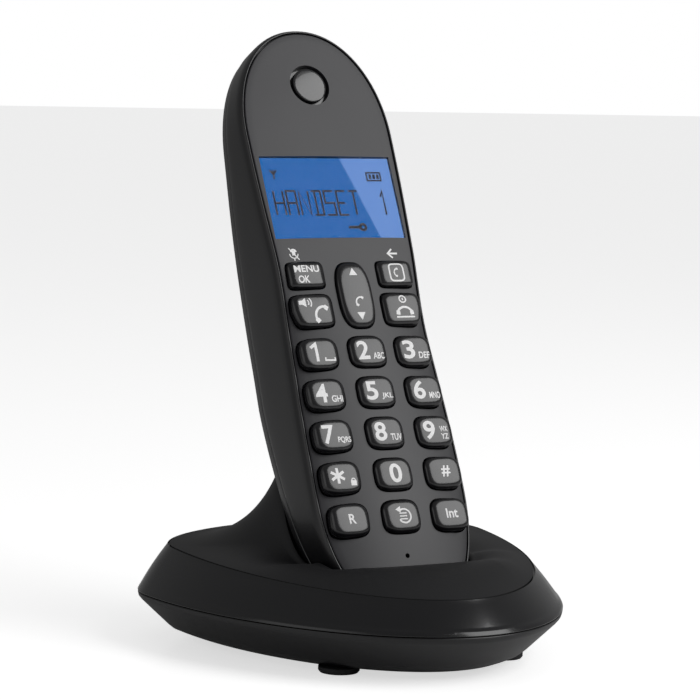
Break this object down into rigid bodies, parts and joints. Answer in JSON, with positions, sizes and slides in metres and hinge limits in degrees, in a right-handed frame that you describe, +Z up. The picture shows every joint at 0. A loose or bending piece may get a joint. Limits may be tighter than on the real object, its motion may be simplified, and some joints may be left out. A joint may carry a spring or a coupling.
{
  "type": "cordless phone with base",
  "caption": "Cordless telephone handset with keypad and backlit display, leaning in a sloped charging base with a swept cradle.",
  "frame": {"origin": "bottom centre of the bounding box, on the surface that the feet stand on", "axes": "+Z up, -Y towards the user and the keypad side, +X to the user's right; the phone is symmetric about the YZ plane"},
  "size_m": [0.1044, 0.111, 0.152],
  "materials": {
    "casing": "satin black moulded plastic",
    "rear_casing": "satin black moulded plastic",
    "face": "satin dark grey plate",
    "window": "clear lens over a blue backlit display",
    "badge": "polished black domed badge",
    "key": "satin black key with white printed legend",
    "mat": "silicone rubber",
    "lcd": "liquid crystal panel",
    "backlight": "white light guide",
    "frame_plastic": "natural white plastic",
    "board": "green printed circuit board",
    "speaker": "steel can",
    "gold": "gold plated",
    "tray": "black plastic",
    "cell": "shrink sleeve of a rechargeable cell",
    "spring_steel": "nickel plated spring steel",
    "screw": "zinc plated screw",
    "cover": "fine textured matte black plastic",
    "band": "semi gloss black plastic",
    "lower": "satin black plastic",
    "socket": "black modular socket",
    "button": "dark grey button",
    "foot": "black rubber foot"
  },
  "bodies": {
    "base": {"base_upper_cover": "cover", "base_band": "band", "base_lower_shell": "lower", "base_board": "board", "line_socket": "socket", "power_socket": "socket", "contact_block": "tray", "base_screws": "screw", "base_feet": "foot"},
    "handset": {"front_shell": "casing", "rear_shell": "rear_casing", "face_plate": "face", "display_window": "window", "earpiece_badge": "badge", "keypad_mat": "mat", "lcd_panel": "lcd", "lcd_backlight": "backlight", "lcd_frame": "frame_plastic", "handset_board": "board", "earpiece_speaker": "speaker", "microphone": "speaker", "loudspeaker": "speaker", "antenna": "gold", "battery_tray": "tray", "battery_cells": "cell", "battery_springs": "spring_steel", "battery_contacts": "spring_steel", "charge_pads": "gold", "handset_screws": "screw"},
    "battery_door": {"battery_door": "rear_casing"},
    "page_button": {"page_button": "button"},
    "charge_contact_left": {"charge_contact_left": "gold"},
    "charge_contact_right": {"charge_contact_right": "gold"},
    "key_menu": {"key_menu": "key"},
    "key_nav": {"key_nav": "key"},
    "key_phonebook": {"key_phonebook": "key"},
    "key_talk": {"key_talk": "key"},
    "key_end": {"key_end": "key"},
    "key_1": {"key_1": "key"},
    "key_2": {"key_2": "key"},
    "key_3": {"key_3": "key"},
    "key_4": {"key_4": "key"},
    "key_5": {"key_5": "key"},
    "key_6": {"key_6": "key"},
    "key_7": {"key_7": "key"},
    "key_8": {"key_8": "key"},
    "key_9": {"key_9": "key"},
    "key_star": {"key_star": "key"},
    "key_0": {"key_0": "key"},
    "key_hash": {"key_hash": "key"},
    "key_recall": {"key_recall": "key"},
    "key_redial": {"key_redial": "key"},
    "key_intercom": {"key_intercom": "key"}
  },
  "joints": [
    {"name": "handset_lift", "type": "slide", "parent": "base", "child": "handset", "axis": [0, 0.454, 0.891], "range_m": [0, 0.12]},
    {"name": "battery_door_pull", "type": "slide", "parent": "handset", "child": "battery_door", "axis": [0, 0.891, -0.454], "range_m": [0, 0.025]},
    {"name": "page_button_press", "type": "slide", "parent": "base", "child": "page_button", "axis": [0, 0, -1], "range_m": [0, 0.001], "stiffness_N_per_m": 1500},
    {"name": "charge_contact_left_press", "type": "slide", "parent": "base", "child": "charge_contact_left", "axis": [0, -0.454, -0.891], "range_m": [0, 0.0008], "stiffness_N_per_m": 400},
    {"name": "charge_contact_right_press", "type": "slide", "parent": "base", "child": "charge_contact_right", "axis": [0, -0.454, -0.891], "range_m": [0, 0.0008], "stiffness_N_per_m": 400},
    {"name": "key_menu_press", "type": "slide", "parent": "handset", "child": "key_menu", "axis": [0, 0.891, -0.454], "range_m": [0, 0.0008], "stiffness_N_per_m": 2000},
    {"name": "nav_rock", "type": "hinge", "parent": "handset", "child": "key_nav", "pos_m": [0, 0.01291, 0.08607], "axis": [1, 0, 0], "range_deg": [-2.5, 2.5], "stiffness_Nm_per_rad": 0.6},
    {"name": "key_phonebook_press", "type": "slide", "parent": "handset", "child": "key_phonebook", "axis": [0, 0.891, -0.454], "range_m": [0, 0.0008], "stiffness_N_per_m": 2000},
    {"name": "key_talk_press", "type": "slide", "parent": "handset", "child": "key_talk", "axis": [0, 0.891, -0.454], "range_m": [0, 0.0008], "stiffness_N_per_m": 2000},
    {"name": "key_end_press", "type": "slide", "parent": "handset", "child": "key_end", "axis": [0, 0.891, -0.454], "range_m": [0, 0.0008], "stiffness_N_per_m": 2000},
    {"name": "key_1_press", "type": "slide", "parent": "handset", "child": "key_1", "axis": [0, 0.891, -0.454], "range_m": [0, 0.0008], "stiffness_N_per_m": 2000},
    {"name": "key_2_press", "type": "slide", "parent": "handset", "child": "key_2", "axis": [0, 0.891, -0.454], "range_m": [0, 0.0008], "stiffness_N_per_m": 2000},
    {"name": "key_3_press", "type": "slide", "parent": "handset", "child": "key_3", "axis": [0, 0.891, -0.454], "range_m": [0, 0.0008], "stiffness_N_per_m": 2000},
    {"name": "key_4_press", "type": "slide", "parent": "handset", "child": "key_4", "axis": [0, 0.891, -0.454], "range_m": [0, 0.0008], "stiffness_N_per_m": 2000},
    {"name": "key_5_press", "type": "slide", "parent": "handset", "child": "key_5", "axis": [0, 0.891, -0.454], "range_m": [0, 0.0008], "stiffness_N_per_m": 2000},
    {"name": "key_6_press", "type": "slide", "parent": "handset", "child": "key_6", "axis": [0, 0.891, -0.454], "range_m": [0, 0.0008], "stiffness_N_per_m": 2000},
    {"name": "key_7_press", "type": "slide", "parent": "handset", "child": "key_7", "axis": [0, 0.891, -0.454], "range_m": [0, 0.0008], "stiffness_N_per_m": 2000},
    {"name": "key_8_press", "type": "slide", "parent": "handset", "child": "key_8", "axis": [0, 0.891, -0.454], "range_m": [0, 0.0008], "stiffness_N_per_m": 2000},
    {"name": "key_9_press", "type": "slide", "parent": "handset", "child": "key_9", "axis": [0, 0.891, -0.454], "range_m": [0, 0.0008], "stiffness_N_per_m": 2000},
    {"name": "key_star_press", "type": "slide", "parent": "handset", "child": "key_star", "axis": [0, 0.891, -0.454], "range_m": [0, 0.0008], "stiffness_N_per_m": 2000},
    {"name": "key_0_press", "type": "slide", "parent": "handset", "child": "key_0", "axis": [0, 0.891, -0.454], "range_m": [0, 0.0008], "stiffness_N_per_m": 2000},
    {"name": "key_hash_press", "type": "slide", "parent": "handset", "child": "key_hash", "axis": [0, 0.891, -0.454], "range_m": [0, 0.0008], "stiffness_N_per_m": 2000},
    {"name": "key_recall_press", "type": "slide", "parent": "handset", "child": "key_recall", "axis": [0, 0.891, -0.454], "range_m": [0, 0.0008], "stiffness_N_per_m": 2000},
    {"name": "key_redial_press", "type": "slide", "parent": "handset", "child": "key_redial", "axis": [0, 0.891, -0.454], "range_m": [0, 0.0008], "stiffness_N_per_m": 2000},
    {"name": "key_intercom_press", "type": "slide", "parent": "handset", "child": "key_intercom", "axis": [0, 0.891, -0.454], "range_m": [0, 0.0008], "stiffness_N_per_m": 2000}
  ]
}
